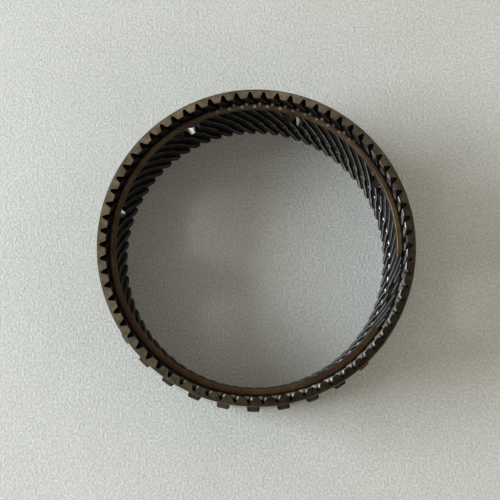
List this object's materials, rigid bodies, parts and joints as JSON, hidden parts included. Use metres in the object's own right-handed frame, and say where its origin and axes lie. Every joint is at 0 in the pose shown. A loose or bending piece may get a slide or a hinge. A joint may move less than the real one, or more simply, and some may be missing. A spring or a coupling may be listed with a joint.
{
  "type": "transmission ring gear",
  "caption": "Ring gear with internal helical teeth, outer drive lugs, oil holes through its wall, and an open snap ring in its inner groove.",
  "frame": {"origin": "on the gear's axis, in the plane of its lower end face, under the drive lugs", "axes": "+Z along the gear's axis towards the end with the snap ring groove; +Y through a tooth at that end"},
  "size_m": [0.1314, 0.1314, 0.054],
  "materials": {
    "gear_steel": "dark heat-treated steel, satin, with paler worn edges and tooth tips",
    "ring_steel": "oil-tinted spring steel, brown to ochre, satin"
  },
  "bodies": {
    "root": {"ring_gear": "gear_steel", "snap_ring": "ring_steel"}
  },
  "joints": []
}
